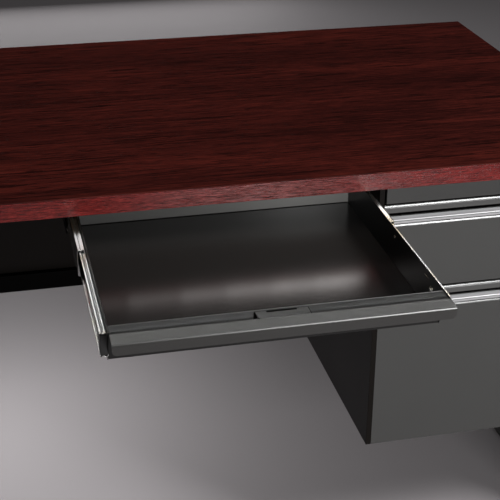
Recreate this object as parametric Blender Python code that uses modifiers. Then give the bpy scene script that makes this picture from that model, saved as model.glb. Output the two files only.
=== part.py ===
"""Steel office desk: a wood-grain top on two end panels, a hanging pedestal with a box
drawer and a file drawer, and a shallow keyboard tray on ball-bearing slides, pulled out.

Metres, +Z up, +X to the right, +Y towards the back. The origin is on the floor, under
the middle of the space that the desk and its pulled-out tray take up.
"""
from math import cos, pi, radians, sin

import bmesh
import bpy
from mathutils import Matrix, Vector

# Fits and stock
GAP = 0.0003                # between pieces that touch
SHEET = 0.001               # painted steel sheet
RUNNING = 0.0005            # between a piece that moves and one that stays

# Worktop
DESK_WIDTH = 1.524
DESK_DEPTH = 0.762
DESK_HEIGHT = 0.749
TOP_THICK = 0.0286
LAMINATE = 0.0012
EDGE_BAND = 0.0015

# End panels, modesty panel and feet
SIDE_INSET = 0.003          # from the worktop's end to the panel
FRONT_INSET = 0.042         # from the worktop's front edge to the fronts
BACK_INSET = 0.012
PANEL_THICK = 0.025
PANEL_LIFT = 0.012          # from the floor to the panel
MODESTY_HEIGHT = 0.489
MODESTY_INSET = 0.021
CHANNEL_HEIGHT = 0.039
CHANNEL_DEPTH = 0.014
ANGLE_WALL = 0.002
CLEAT_LENGTH = 0.600
CLEAT_LEG = 0.022
GLIDE_RADIUS = 0.0115
GLIDE_FOOT = 0.007
GLIDE_INSET = 0.040
STEM_RADIUS = 0.004
STEM_LENGTH = 0.034

# Pedestal
PEDESTAL_WIDTH = 0.381
PEDESTAL_HEIGHT = 0.4934
STILE_WIDTH = 0.007
STILE_DEPTH = 0.012
HEADER_HEIGHT = 0.0442
HEADER_INSET = 0.0031       # from the drawer fronts' edge to the header's
FRONT_THICK = 0.018
FRONT_GAP = 0.0032          # between one front and the next
BOX_PITCH = 0.1524          # from the box drawer's top to the file drawer's
PULL_HEIGHT = 0.0371
BODY_DEPTH = 0.600
BODY_DROP = 0.020           # from a front's top to its drawer body's top
BODY_RISE = 0.008           # from a front's bottom to its drawer body's bottom
RAIL_SETBACK = 0.060        # from the header to the pedestal's top rail
RAIL_DEPTH = 0.040
BOX_SLIDE_RISE = 0.035      # from the drawer body's bottom to the slide's middle
FILE_SLIDE_RISE = 0.160

# Lock in the header
LOCK_RADIUS = 0.0095
LOCK_FLANGE = 0.0115
LOCK_PROUD = 0.0013
LOCK_INSET = 0.045          # from the header's right end
PLUG_RADIUS = 0.0062
CAM_REACH = 0.016
CAM_WIDTH = 0.009

# Ball-bearing slides
SLIDE_THICK = 0.0127
SLIDE_HEIGHT = 0.045
SLIDE_WALL = 0.0012
SLIDE_NEST = 0.0032         # from one member's flange to the next one's
DRAWER_SLIDE = 0.508
TRAY_SLIDE = 0.406
CARRIER_SHORT = 0.035       # the tray's middle members are this much shorter, at the front
TRAY_OUT = 0.394            # how far out the tray stands

# Keyboard tray
TRAY_WIDTH = 0.439
TRAY_DEPTH = 0.460
TRAY_DROP = 0.0114          # from the worktop's underside to the tray's rim
TRAY_HEIGHT = 0.0545
TRAY_UNDERCUT = 0.056       # from the lip's face to the walls' lower front corner
FLOOR_RISE = 0.001
LIP_DEPTH = 0.023
LIP_DROP = 0.002
LIP_FLANGE = 0.015
LIP_BEND = 0.0025
LIP_SHEET = 0.0012
LEDGE_DROP = 0.0016         # from the walls' rim to the ledge behind the lip
LEDGE_LAP = 0.001           # of the ledge under the lip
FRONT_LEAN = 0.009          # the front wall's top stands this far forward of its foot
STRIKE_WIDTH = 0.068
STRIKE_DEPTH = 0.018
STRIKE_SLOT = 0.040
STRIKE_SLOT_DEPTH = 0.004
SLIDE_SETBACK = 0.047       # from the lip's face to the inner slide member
BRACKET_LENGTH = 0.4826
BRACKET_LEAD = 0.014        # bracket in front of the fixed slide member
BRACKET_WIDTH = 0.0154
BRACKET_WALL = 0.002
SCREW_RADIUS = 0.0042
SCREW_HEAD = 0.0022
SCREW_SETBACK = 0.040       # from the inner member's front end to the screw
SCREW_RISE = 0.0065         # from the slide's middle to the screw

# Places worked out from the sizes
REACH = TRAY_OUT - FRONT_INSET
EDGE_Y = (REACH - DESK_DEPTH) / 2
BACK_Y = EDGE_Y + DESK_DEPTH
FRONT_Y = EDGE_Y + FRONT_INSET
PANEL_BACK_Y = BACK_Y - BACK_INSET
UNDER_Z = DESK_HEIGHT - TOP_THICK
PANEL_X = DESK_WIDTH / 2 - SIDE_INSET
INNER_X = PANEL_X - PANEL_THICK
MODESTY_Y = BACK_Y - MODESTY_INSET - SHEET
MODESTY_Z = UNDER_Z - MODESTY_HEIGHT
PEDESTAL_RIGHT = INNER_X - GAP
PEDESTAL_LEFT = PEDESTAL_RIGHT - PEDESTAL_WIDTH
PEDESTAL_X = (PEDESTAL_LEFT + PEDESTAL_RIGHT) / 2
PEDESTAL_Z = UNDER_Z - PEDESTAL_HEIGHT
PEDESTAL_BACK = MODESTY_Y - CHANNEL_DEPTH - 2 * GAP
STILE_EDGE = SHEET + GAP + STILE_WIDTH
HALF_FRONT = PEDESTAL_WIDTH / 2 - STILE_EDGE - RUNNING
HALF_HEADER = HALF_FRONT - HEADER_INSET
HALF_SLIDES = PEDESTAL_WIDTH / 2 - STILE_EDGE - GAP
HALF_BODY = HALF_SLIDES - SLIDE_THICK - GAP
BOX_TOP = UNDER_Z - HEADER_HEIGHT - FRONT_GAP
FILE_TOP = BOX_TOP - BOX_PITCH
BOX_BOTTOM = FILE_TOP + FRONT_GAP
FILE_BOTTOM = PEDESTAL_Z
BODY_Y = FRONT_Y + FRONT_THICK + GAP
LOCK_X = PEDESTAL_X + HALF_HEADER - LOCK_INSET
LOCK_Z = UNDER_Z - HEADER_HEIGHT / 2
TRAY_HALF = TRAY_WIDTH / 2
TRAY_SLIDES = TRAY_HALF + GAP + SLIDE_THICK
TRAY_X = PEDESTAL_LEFT - GAP - BRACKET_WIDTH - GAP - TRAY_SLIDES
TRAY_RIM = UNDER_Z - TRAY_DROP
TRAY_BASE = TRAY_RIM - TRAY_HEIGHT
TRAY_FLOOR = TRAY_BASE + FLOOR_RISE + SHEET
LIP_Y = FRONT_Y - TRAY_OUT
TRAY_BACK = LIP_Y + TRAY_DEPTH
TRAY_SLIDE_Z = (TRAY_RIM + TRAY_BASE) / 2
INNER_Y = LIP_Y + SLIDE_SETBACK


# ---------------------------------------------------------------- scene and materials
for old in list(bpy.data.objects):
    bpy.data.objects.remove(old, do_unlink=True)

PARTS = bpy.data.collections.new("steel_office_desk")
CUTTERS = bpy.data.collections.new("cutters")
for group in (PARTS, CUTTERS):
    bpy.context.scene.collection.children.link(group)


def material(name, colour, roughness, metallic=0.0):
    made = bpy.data.materials.new(name)
    made.use_nodes = True
    shader = made.node_tree.nodes["Principled BSDF"]
    shader.inputs["Base Color"].default_value = (*colour, 1.0)
    shader.inputs["Roughness"].default_value = roughness
    shader.inputs["Metallic"].default_value = metallic
    return made


LAMINATE_MAT = material("mahogany_laminate", (0.034, 0.009, 0.007), 0.45)
EDGE_MAT = material("mahogany_edge", (0.075, 0.016, 0.013), 0.40)
CORE_MAT = material("particle_board", (0.36, 0.25, 0.15), 0.85)
STEEL_MAT = material("charcoal_paint", (0.060, 0.060, 0.058), 0.45)
PULL_MAT = material("pull_paint", (0.090, 0.090, 0.088), 0.35)
BLACK_MAT = material("black_paint", (0.012, 0.011, 0.010), 0.40)
ZINC_MAT = material("zinc_plate", (0.55, 0.55, 0.53), 0.35, 1.0)
CHROME_MAT = material("lock_chrome", (0.70, 0.70, 0.70), 0.15, 1.0)
PLASTIC_MAT = material("glide_plastic", (0.020, 0.020, 0.020), 0.55)


# ---------------------------------------------------------------- shape helpers
def place(thing, look, parent=None):
    """Put an object in the desk's collection, keeping its place under a parent."""
    thing.data.materials.append(look)
    PARTS.objects.link(thing)
    if parent is not None:
        thing.parent = parent
        thing.location = thing.location - parent.location
    return thing


def axis_empty(name, location):
    empty = bpy.data.objects.new(name, None)
    empty.location = location
    empty.empty_display_size = 0.05
    PARTS.objects.link(empty)
    return empty


def box(name, first, second, look, parent=None):
    """A box between two opposite corners."""
    centre = (Vector(first) + Vector(second)) / 2
    size = [abs(b - a) for a, b in zip(first, second)]
    shape = bmesh.new()
    bmesh.ops.create_cube(shape, size=1.0, matrix=Matrix.Diagonal((*size, 1.0)))
    return place(mesh_object(name, shape, centre), look, parent)


def mesh_object(name, shape, location):
    mesh = bpy.data.meshes.new(name)
    shape.to_mesh(mesh)
    shape.free()
    thing = bpy.data.objects.new(name, mesh)
    thing.location = location
    return thing


def pan(name, low, high, open_side, look, parent=None, wall=SHEET):
    """Folded sheet box between two corners, open on the side that open_side points to."""
    centre = (Vector(low) + Vector(high)) / 2
    size = [abs(b - a) for a, b in zip(low, high)]
    shape = bmesh.new()
    bmesh.ops.create_cube(shape, size=1.0, matrix=Matrix.Diagonal((*size, 1.0)))
    shape.normal_update()
    mouth = [f for f in shape.faces if f.normal.dot(Vector(open_side)) > 0.9]
    bmesh.ops.delete(shape, geom=mouth, context="FACES_ONLY")
    thing = mesh_object(name, shape, centre)
    fold = thing.modifiers.new("sheet", "SOLIDIFY")
    fold.thickness = wall
    fold.offset = -1.0
    fold.use_even_offset = True
    return place(thing, look, parent)


def prism(name, outline, span, along, look, parent=None):
    """An outline pushed along one axis: its points are (y, z) along X, (x, z) along Y and
    (x, y) along Z."""
    curve = bpy.data.curves.new(name, "CURVE")
    curve.dimensions = "2D"
    curve.fill_mode = "BOTH"
    curve.extrude = abs(span[1] - span[0]) / 2
    spline = curve.splines.new("POLY")
    spline.points.add(len(outline) - 1)
    for point, (u, v) in zip(spline.points, outline):
        point.co = (u, v, 0.0, 1.0)
    spline.use_cyclic_u = True
    turns = {"X": (pi / 2, 0.0, pi / 2), "Y": (pi / 2, 0.0, 0.0), "Z": (0.0, 0.0, 0.0)}
    thing = bpy.data.objects.new(name, curve)
    thing.rotation_euler = turns[along]
    thing.location["XYZ".index(along)] = (span[0] + span[1]) / 2
    return place(thing, look, parent)


def cylinder(name, centre, radius, length, along, look, parent=None, segments=24):
    turn = {"X": Matrix.Rotation(pi / 2, 4, "Y"), "Y": Matrix.Rotation(pi / 2, 4, "X"),
            "Z": Matrix.Identity(4)}[along]
    shape = bmesh.new()
    bmesh.ops.create_cone(shape, cap_ends=True, segments=segments, radius1=radius,
                          radius2=radius, depth=length, matrix=turn)
    return place(mesh_object(name, shape, Vector(centre)), look, parent)


def turned(name, profile, location, look, parent=None, tilt=0.0, steps=32):
    """A profile of (radius, height) points turned about the object's own Z axis."""
    shape = bmesh.new()
    points = [shape.verts.new((radius, 0.0, height)) for radius, height in profile]
    for first, second in zip(points, points[1:]):
        shape.edges.new((first, second))
    if profile[0][0] > 0.0:
        shape.edges.new((points[-1], points[0]))
    thing = mesh_object(name, shape, location)
    thing.rotation_euler.x = tilt
    spin = thing.modifiers.new("turning", "SCREW")
    spin.steps = steps
    spin.render_steps = steps
    spin.use_merge_vertices = True
    spin.merge_threshold = 0.00001
    spin.use_normal_flip = True
    return place(thing, look, parent)


def cut(thing, cutter):
    """Take a cutter away from a part, and keep the cutter in its own collection."""
    PARTS.objects.unlink(cutter)
    CUTTERS.objects.link(cutter)
    cutter.hide_render = True
    cutter.display_type = "WIRE"
    hole = thing.modifiers.new("hole", "BOOLEAN")
    hole.operation = "DIFFERENCE"
    hole.solver = "EXACT"
    hole.object = cutter


def arc(centre, radius, start, end, steps):
    """Points on an arc, with its angles in degrees."""
    turns = [radians(start + (end - start) * i / steps) for i in range(steps + 1)]
    return [(centre[0] + radius * cos(a), centre[1] + radius * sin(a)) for a in turns]


def shifted(outline, du, dv):
    return [(u + du, v + dv) for u, v in outline]


# ---------------------------------------------------------------- worktop
def build_worktop():
    """Board core with a laminate sheet on it and a band around its four edges."""
    half = DESK_WIDTH / 2
    band_top = DESK_HEIGHT - LAMINATE - GAP
    box("worktop_laminate", (-half, EDGE_Y, DESK_HEIGHT - LAMINATE),
        (half, BACK_Y, DESK_HEIGHT), LAMINATE_MAT)
    inset = EDGE_BAND + GAP
    box("worktop_core", (-half + inset, EDGE_Y + inset, UNDER_Z),
        (half - inset, BACK_Y - inset, band_top), CORE_MAT)
    band = box("worktop_edge_band", (-half, EDGE_Y, UNDER_Z), (half, BACK_Y, band_top), EDGE_MAT)
    cut(band, box("edge_band_opening",
                  (-half + EDGE_BAND, EDGE_Y + EDGE_BAND, UNDER_Z - EDGE_BAND),
                  (half - EDGE_BAND, BACK_Y - EDGE_BAND, DESK_HEIGHT), EDGE_MAT))


# ---------------------------------------------------------------- end and modesty panels
def glide_places(side):
    x = side * (PANEL_X - PANEL_THICK / 2)
    return [("front", x, FRONT_Y + GLIDE_INSET), ("back", x, PANEL_BACK_Y - GLIDE_INSET)]


def build_end_panel(name, side):
    """Double-skinned panel: a folded outer pan with a flat liner over its mouth."""
    outer = side * PANEL_X
    rim = side * (INNER_X + SHEET + GAP)
    top = UNDER_Z - GAP
    low = (min(outer, rim), FRONT_Y, PANEL_LIFT)
    high = (max(outer, rim), PANEL_BACK_Y, top)
    panel = pan(name + "_end_panel", low, high, (-side, 0, 0), STEEL_MAT)
    box(name + "_end_liner", (side * INNER_X, FRONT_Y, PANEL_LIFT),
        (side * (INNER_X + SHEET), PANEL_BACK_Y, top), STEEL_MAT)
    for end, x, y in glide_places(side):
        cut(panel, cylinder(name + "_glide_hole_" + end, (x, y, PANEL_LIFT),
                            STEM_RADIUS + RUNNING, 4 * SHEET, "Z", STEEL_MAT))


def build_glides():
    """Levelling glides that screw up into the end panels."""
    foot = [(0.0, 0.0), (GLIDE_RADIUS - 0.001, 0.0), (GLIDE_RADIUS, 0.001),
            (GLIDE_RADIUS, GLIDE_FOOT - 0.002), (GLIDE_RADIUS - 0.003, GLIDE_FOOT),
            (STEM_RADIUS, GLIDE_FOOT), (STEM_RADIUS, STEM_LENGTH), (0.0, STEM_LENGTH)]
    for name, side in (("left", -1), ("right", 1)):
        for end, x, y in glide_places(side):
            turned("glide_" + name + "_" + end, foot, (x, y, 0.0), PLASTIC_MAT)


def build_modesty():
    half = INNER_X - GAP
    box("modesty_panel", (-half, MODESTY_Y, MODESTY_Z),
        (half, MODESTY_Y + SHEET, UNDER_Z - GAP), STEEL_MAT)
    pan("modesty_channel", (-half, MODESTY_Y - CHANNEL_DEPTH, MODESTY_Z),
        (half, MODESTY_Y - GAP, MODESTY_Z + CHANNEL_HEIGHT), (0, 1, 0), BLACK_MAT)
    face, top = MODESTY_Y - GAP, UNDER_Z - GAP
    leg = CHANNEL_DEPTH
    angle = [(face, top), (face - leg, top), (face - leg, top - ANGLE_WALL),
             (face - ANGLE_WALL, top - ANGLE_WALL), (face - ANGLE_WALL, top - leg), (face, top - leg)]
    prism("rear_top_rail", angle, (-half, half), "X", BLACK_MAT)
    wall = -INNER_X + GAP
    cleat = [(wall, top), (wall + CLEAT_LEG, top), (wall + CLEAT_LEG, top - ANGLE_WALL),
             (wall + ANGLE_WALL, top - ANGLE_WALL), (wall + ANGLE_WALL, top - CLEAT_LEG),
             (wall, top - CLEAT_LEG)]
    middle = (FRONT_Y + MODESTY_Y) / 2
    prism("left_top_cleat", cleat, (middle - CLEAT_LENGTH / 2, middle + CLEAT_LENGTH / 2),
          "Y", BLACK_MAT)


# ---------------------------------------------------------------- slides
def channel(web, mouth, middle, height):
    """C section of a slide member, from its web to the mouth of its flanges."""
    side = 1 if mouth > web else -1
    low, high, wall = middle - height / 2, middle + height / 2, SLIDE_WALL
    inner = web + side * wall
    return [(web, low), (mouth, low), (mouth, low + wall), (inner, low + wall),
            (inner, high - wall), (mouth, high - wall), (mouth, high), (web, high)]


def slide_sections(centre, half, middle, side, stand_off=0.0):
    """The three nested members of one slide: fixed, middle and inner. The fixed one is
    deeper where the slide stands off its side."""
    outer = centre + side * half
    clear = SLIDE_WALL + RUNNING
    inner = outer - side * SLIDE_THICK
    fixed = channel(outer + side * stand_off, inner + side * clear, middle, SLIDE_HEIGHT)
    carrier = channel(outer - side * clear, inner + side * clear, middle,
                      SLIDE_HEIGHT - 2 * SLIDE_NEST)
    moving = channel(inner, outer - side * (2 * clear), middle, SLIDE_HEIGHT - 4 * SLIDE_NEST)
    return fixed, carrier, moving


# ---------------------------------------------------------------- keyboard tray
def build_tray():
    tray = axis_empty("tray_axis", (TRAY_X, LIP_Y, TRAY_SLIDE_Z))
    middle_axis = axis_empty("tray_middle_axis", (TRAY_X, INNER_Y + TRAY_OUT / 2, TRAY_SLIDE_Z))
    inside = TRAY_HALF - SHEET - GAP
    wall = [(TRAY_BACK, TRAY_RIM), (LIP_Y + LIP_DEPTH + GAP, TRAY_RIM),
            (LIP_Y + TRAY_UNDERCUT, TRAY_BASE), (TRAY_BACK, TRAY_BASE)]
    for name, side in (("left", -1), ("right", 1)):
        build_tray_side(name, side, wall, tray, middle_axis)
    foot = LIP_Y + TRAY_UNDERCUT
    floor_low = TRAY_FLOOR - SHEET
    box("tray_floor", (TRAY_X - inside, foot + SHEET + GAP, floor_low),
        (TRAY_X + inside, TRAY_BACK - SHEET - GAP, TRAY_FLOOR), BLACK_MAT, tray)
    box("tray_back", (TRAY_X - inside, TRAY_BACK - SHEET, floor_low),
        (TRAY_X + inside, TRAY_BACK, TRAY_RIM), STEEL_MAT, tray)
    ledge = TRAY_RIM - LEDGE_DROP
    head = foot - FRONT_LEAN
    front = [(foot, floor_low), (foot + SHEET, floor_low), (head + SHEET, ledge),
             (LIP_Y + LIP_DEPTH - LEDGE_LAP, ledge), (LIP_Y + LIP_DEPTH - LEDGE_LAP, ledge - SHEET),
             (head, ledge - SHEET)]
    prism("tray_front", front, (TRAY_X - inside, TRAY_X + inside), "X", BLACK_MAT, tray)
    build_lip(tray)
    build_strike(tray)


def build_lip(tray):
    """Nose of the tray: a top plate that dips to a bend, and a flange hanging from it."""
    front, back = LIP_Y, LIP_Y + LIP_DEPTH
    bend_top = TRAY_RIM - LIP_DROP
    bottom = bend_top - LIP_FLANGE
    centre = (front + LIP_BEND, bend_top - LIP_BEND)
    outline = [(back, TRAY_RIM)] + arc(centre, LIP_BEND, 95, 180, 6)
    outline += [(front, bottom), (front + LIP_SHEET, bottom)]
    outline += arc(centre, LIP_BEND - LIP_SHEET, 180, 95, 4) + [(back, TRAY_RIM - LIP_SHEET)]
    prism("tray_lip", outline, (TRAY_X - TRAY_HALF, TRAY_X + TRAY_HALF), "X", STEEL_MAT, tray)


def build_strike(tray):
    """Tab behind the middle of the lip, with a slot in its rear edge."""
    front = LIP_Y + LIP_DEPTH + GAP
    back = front + STRIKE_DEPTH
    half, slot, depth = STRIKE_WIDTH / 2, STRIKE_SLOT / 2, STRIKE_SLOT_DEPTH
    outline = [(-half, front), (half, front), (half, back), (slot, back), (slot, back - depth),
               (-slot, back - depth), (-slot, back), (-half, back)]
    prism("tray_strike", shifted(outline, TRAY_X, 0.0), (TRAY_RIM - LIP_SHEET, TRAY_RIM),
          "Z", STEEL_MAT, tray)


def build_tray_side(name, side, wall, tray, middle_axis):
    outer = TRAY_X + side * TRAY_HALF
    prism("tray_wall_" + name, wall, (outer, outer - side * SHEET), "X", STEEL_MAT, tray)
    fixed, carrier, moving = slide_sections(TRAY_X, TRAY_SLIDES, TRAY_SLIDE_Z, side)
    fixed_y = INNER_Y + TRAY_OUT
    middle_y = INNER_Y + TRAY_OUT / 2
    prism("tray_slide_fixed_" + name, fixed, (fixed_y, fixed_y + TRAY_SLIDE), "Y", ZINC_MAT)
    prism("tray_slide_middle_" + name, carrier,
          (middle_y + CARRIER_SHORT, middle_y + TRAY_SLIDE), "Y", ZINC_MAT, middle_axis)
    prism("tray_slide_inner_" + name, moving, (INNER_Y, INNER_Y + TRAY_SLIDE), "Y",
          ZINC_MAT, tray)
    build_bracket(name, side, fixed_y - BRACKET_LEAD)
    head = outer - side * (SHEET + GAP + SCREW_HEAD / 2)
    cylinder("tray_screw_" + name, (head, INNER_Y + SCREW_SETBACK, TRAY_SLIDE_Z + SCREW_RISE),
             SCREW_RADIUS, SCREW_HEAD, "X", ZINC_MAT, tray, segments=16)


def build_bracket(name, side, front):
    """Hanger under the worktop that carries the fixed slide member."""
    near = TRAY_X + side * (TRAY_SLIDES + GAP)
    leg = near + side * BRACKET_WALL
    far = near + side * BRACKET_WIDTH
    top, bottom = UNDER_Z - GAP, TRAY_SLIDE_Z - SLIDE_HEIGHT / 2
    outline = [(near, bottom), (leg, bottom), (leg, top - BRACKET_WALL), (far, top - BRACKET_WALL),
               (far, top), (near, top)]
    prism("tray_bracket_" + name, outline, (front, front + BRACKET_LENGTH), "Y", BLACK_MAT)


# ---------------------------------------------------------------- pedestal
def build_pedestal():
    """Hanging case: two sides with a folded front flange, back, bottom, rail and header."""
    top = UNDER_Z - GAP
    for name, outer, side in (("left", PEDESTAL_LEFT, 1), ("right", PEDESTAL_RIGHT, -1)):
        skin, edge = outer + side * SHEET, outer + side * STILE_EDGE
        fold = [(outer, FRONT_Y), (edge, FRONT_Y), (edge, FRONT_Y + STILE_DEPTH),
                (edge - side * SHEET, FRONT_Y + STILE_DEPTH), (edge - side * SHEET, FRONT_Y + SHEET),
                (skin, FRONT_Y + SHEET), (skin, PEDESTAL_BACK), (outer, PEDESTAL_BACK)]
        prism("pedestal_side_" + name, fold, (PEDESTAL_Z, top), "Z", STEEL_MAT)
    inner = PEDESTAL_WIDTH / 2 - SHEET - GAP
    left, right = PEDESTAL_X - inner, PEDESTAL_X + inner
    behind = FRONT_Y + FRONT_THICK + 4 * GAP
    box("pedestal_back", (left, PEDESTAL_BACK - SHEET, PEDESTAL_Z), (right, PEDESTAL_BACK, top),
        STEEL_MAT)
    box("pedestal_bottom", (left, behind, PEDESTAL_Z),
        (right, PEDESTAL_BACK - SHEET - GAP, PEDESTAL_Z + SHEET), STEEL_MAT)
    box("pedestal_top_rail", (left, behind + RAIL_SETBACK, top - ANGLE_WALL),
        (right, behind + RAIL_SETBACK + RAIL_DEPTH, top), BLACK_MAT)
    header = pan("pedestal_header", (PEDESTAL_X - HALF_HEADER, FRONT_Y, UNDER_Z - HEADER_HEIGHT),
                 (PEDESTAL_X + HALF_HEADER, FRONT_Y + FRONT_THICK, top), (0, 1, 0), STEEL_MAT)
    cut(header, cylinder("lock_hole", (LOCK_X, FRONT_Y, LOCK_Z), LOCK_RADIUS + GAP, 6 * SHEET,
                         "Y", STEEL_MAT, segments=32))


def build_lock():
    """Cylinder lock in the header, with the cam that its plug turns."""
    bore = PLUG_RADIUS + RUNNING
    length = FRONT_THICK - 0.002
    front = -LOCK_PROUD - GAP
    sleeve = [(bore, front), (LOCK_FLANGE, front), (LOCK_FLANGE, -GAP), (LOCK_RADIUS, -GAP),
              (LOCK_RADIUS, length), (bore, length)]
    turned("lock_sleeve", [(r, -d) for r, d in reversed(sleeve)], (LOCK_X, FRONT_Y, LOCK_Z), CHROME_MAT,
           tilt=pi / 2)
    axis = axis_empty("lock_axis", (LOCK_X, FRONT_Y, LOCK_Z))
    tail = FRONT_THICK + 0.001
    cylinder("lock_plug", (LOCK_X, FRONT_Y + (tail + front) / 2, LOCK_Z), PLUG_RADIUS,
             tail - front, "Y", CHROME_MAT, axis, segments=32)
    near = FRONT_Y + tail + GAP
    half = CAM_WIDTH / 2
    box("lock_cam", (LOCK_X - half, near, LOCK_Z - half),
        (LOCK_X + CAM_REACH, near + ANGLE_WALL, LOCK_Z + half), ZINC_MAT, axis)


def pull_outline():
    """Section of a full-width pull, as (depth behind the front, height below its top):
    a hanging lip, a round scoop behind it, a step and a bead."""
    scoop = 0.0128
    centre = (0.0030, -0.0130)
    outline = arc((0.0035, -0.0035), 0.0035, 90, 180, 6) + [(0.0, -0.0130), (0.0012, -0.0130)]
    outline += arc((0.0035, -0.0035), 0.0023, 180, 90, 5) + [(0.0158, -0.0012)]
    outline += arc(centre, scoop, 0, -90, 14) + [(0.0018, -0.0258), (0.0008, -0.0333)]
    outline += arc((0.0012, -0.0352), 0.0019, 100, 270, 8) + [(0.0030, -PULL_HEIGHT)]
    outline += arc(centre, scoop + SHEET + 0.0002, -90, 0, 14) + [(0.0170, 0.0)]
    return outline


def build_drawer(name, top, bottom, slide_rise):
    x, low = PEDESTAL_X, bottom + BODY_RISE
    slide_z = low + slide_rise
    drawer = axis_empty(name + "_axis", (x, FRONT_Y, slide_z))
    middle_axis = axis_empty(name + "_middle_axis", (x, BODY_Y, slide_z))
    prism(name + "_pull", shifted(pull_outline(), FRONT_Y, top),
          (x - HALF_FRONT, x + HALF_FRONT), "X", PULL_MAT, drawer)
    pan(name + "_front", (x - HALF_FRONT, FRONT_Y, bottom),
        (x + HALF_FRONT, FRONT_Y + FRONT_THICK, top - PULL_HEIGHT - GAP), (0, 1, 0),
        STEEL_MAT, drawer)
    pan(name + "_body", (x - HALF_BODY, BODY_Y, low),
        (x + HALF_BODY, BODY_Y + BODY_DEPTH, top - BODY_DROP), (0, 0, 1), STEEL_MAT, drawer)
    for hand, side in (("_left", -1), ("_right", 1)):
        sections = slide_sections(x, HALF_SLIDES, slide_z, side, STILE_WIDTH)
        members = (("_slide_fixed", None), ("_slide_middle", middle_axis), ("_slide_inner", drawer))
        for (member, parent), section in zip(members, sections):
            prism(name + member + hand, section, (BODY_Y, BODY_Y + DRAWER_SLIDE), "Y",
                  ZINC_MAT, parent)


build_worktop()
build_end_panel("left", -1)
build_end_panel("right", 1)
build_glides()
build_modesty()
build_tray()
build_pedestal()
build_lock()
build_drawer("box_drawer", BOX_TOP, BOX_BOTTOM, BOX_SLIDE_RISE)
build_drawer("file_drawer", FILE_TOP, FILE_BOTTOM, FILE_SLIDE_RISE)
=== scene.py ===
# %% [markdown]
# # A steel office desk with a keyboard tray
# The desk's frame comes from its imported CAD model: every sub-part, in metres, in place.
# The cells below first set up the view, then the finishes, and then replace plain CAD
# solids with detailed pieces that have folds, rounded bends, hems and fasteners.

# %% Load the frame
from math import cos, pi, radians, sin

import bmesh
import bpy
from mathutils import Matrix, Vector


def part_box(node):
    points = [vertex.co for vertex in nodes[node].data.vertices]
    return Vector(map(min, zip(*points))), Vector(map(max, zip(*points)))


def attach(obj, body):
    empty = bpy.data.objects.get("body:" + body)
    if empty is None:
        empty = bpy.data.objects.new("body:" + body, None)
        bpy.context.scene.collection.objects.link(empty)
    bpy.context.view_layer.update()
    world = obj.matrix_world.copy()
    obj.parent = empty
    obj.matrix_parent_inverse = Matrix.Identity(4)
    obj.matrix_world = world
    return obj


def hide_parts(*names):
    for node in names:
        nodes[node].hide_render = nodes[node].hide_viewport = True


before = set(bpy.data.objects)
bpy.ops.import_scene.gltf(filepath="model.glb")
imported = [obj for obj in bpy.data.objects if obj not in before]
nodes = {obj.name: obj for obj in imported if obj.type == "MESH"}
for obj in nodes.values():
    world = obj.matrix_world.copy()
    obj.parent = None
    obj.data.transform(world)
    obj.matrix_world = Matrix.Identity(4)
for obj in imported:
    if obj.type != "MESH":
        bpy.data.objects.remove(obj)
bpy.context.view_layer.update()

# %% [markdown]
# ## The view
# The camera stands in front of the desk, left of the tray, and looks down at it through a
# long lens, so the worktop's edge runs almost level across the frame. A camera looks along
# its own -Z axis, so it is first tipped up from looking straight down, then turned.

# %% Camera
CAMERA_PLACE = Vector((-0.2503, -1.8441, 1.4604))
CAMERA_PITCH = radians(25.958)     # below level
CAMERA_YAW = radians(13.272)       # to the right of straight ahead
CAMERA_ROLL = radians(0.451)
CAMERA_LENS = 89.656               # mm, on a 36 mm sensor

camera_data = bpy.data.cameras.new("camera")
camera_data.lens = CAMERA_LENS
camera_data.sensor_width = 36.0
camera_data.clip_start = 0.01
camera = bpy.data.objects.new("camera", camera_data)
camera.matrix_world = (Matrix.Translation(CAMERA_PLACE) @ Matrix.Rotation(-CAMERA_YAW, 4, "Z")
                       @ Matrix.Rotation(pi / 2 - CAMERA_PITCH, 4, "X")
                       @ Matrix.Rotation(CAMERA_ROLL, 4, "Z"))
bpy.context.scene.collection.objects.link(camera)
bpy.context.scene.camera = camera

# %% [markdown]
# ## Shader maths
# A finish is a small graph of nodes. Writing `0.5 + mask * 2` is easier to read than
# linking nodes by hand, so `Wire` wraps an output socket and overloads the operators.


# %% Wires
class Wire:
    """An output socket that takes part in sums and products."""

    def __init__(self, finish, socket):
        self.finish, self.socket = finish, socket

    def maths(self, operation, *values, clamp=False):
        return self.finish.node("ShaderNodeMath", {"operation": operation, "use_clamp": clamp},
                                dict(enumerate(values)))

    def __add__(self, other):
        return self.maths("ADD", self, other)

    def __sub__(self, other):
        return self.maths("SUBTRACT", self, other)

    def __rsub__(self, other):
        return self.maths("SUBTRACT", other, self)

    def __mul__(self, other):
        return self.maths("MULTIPLY", self, other)

    __radd__, __rmul__ = __add__, __mul__


# %% [markdown]
# A `Finish` is one material. Its `node` method makes every other kind of node, and the
# short methods after it name the few kinds that this desk's finishes use.


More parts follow.
